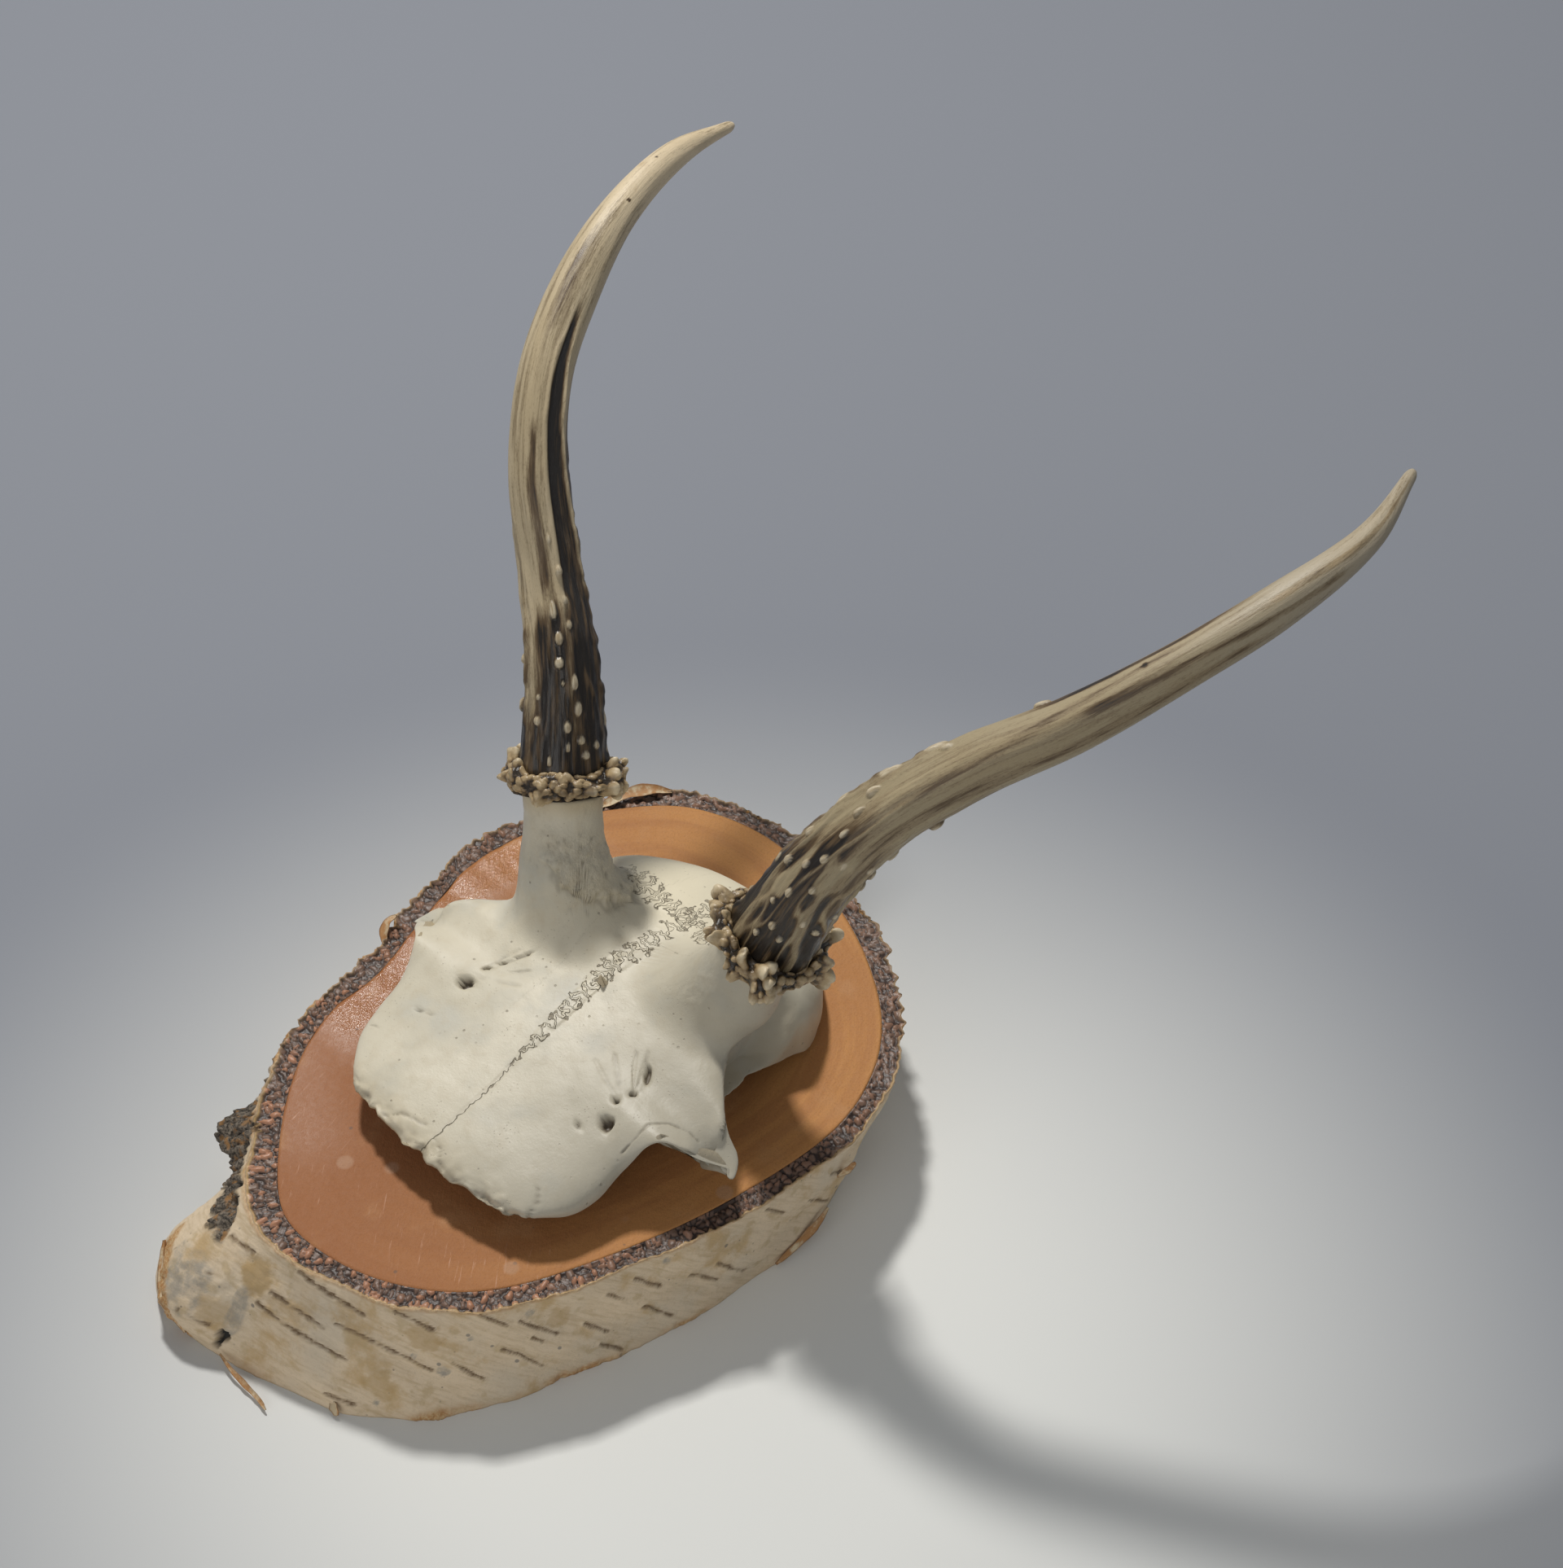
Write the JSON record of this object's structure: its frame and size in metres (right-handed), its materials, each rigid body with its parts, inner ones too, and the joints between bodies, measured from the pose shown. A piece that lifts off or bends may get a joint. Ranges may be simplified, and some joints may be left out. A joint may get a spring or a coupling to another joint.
{
  "type": "roe deer antler trophy",
  "caption": "Two unbranched deer antlers with knobbly burrs on their skull cap, fixed on an obliquely cut, varnished slice of birch with its bark.",
  "frame": {"origin": "a point of the slice's flat back face, on the skull's middle plane and about midway along the slice", "axes": "X is across the skull, with the animal's left at +X; -Y is the nose end; +Z points from the slice's back face towards the antlers"},
  "size_m": [0.1633, 0.1977, 0.1371],
  "materials": {
    "birch_wood": "varnished, glossy",
    "birch_bark": "papery, matt",
    "skull_bone": "bleached bone, satin",
    "antler_left": "antler, satin",
    "antler_right": "antler, satin"
  },
  "bodies": {
    "root": {"birch_wood": "birch_wood", "birch_bark": "birch_bark", "skull_cap": "skull_bone", "antler_left": "antler_left", "antler_right": "antler_right"}
  },
  "joints": []
}
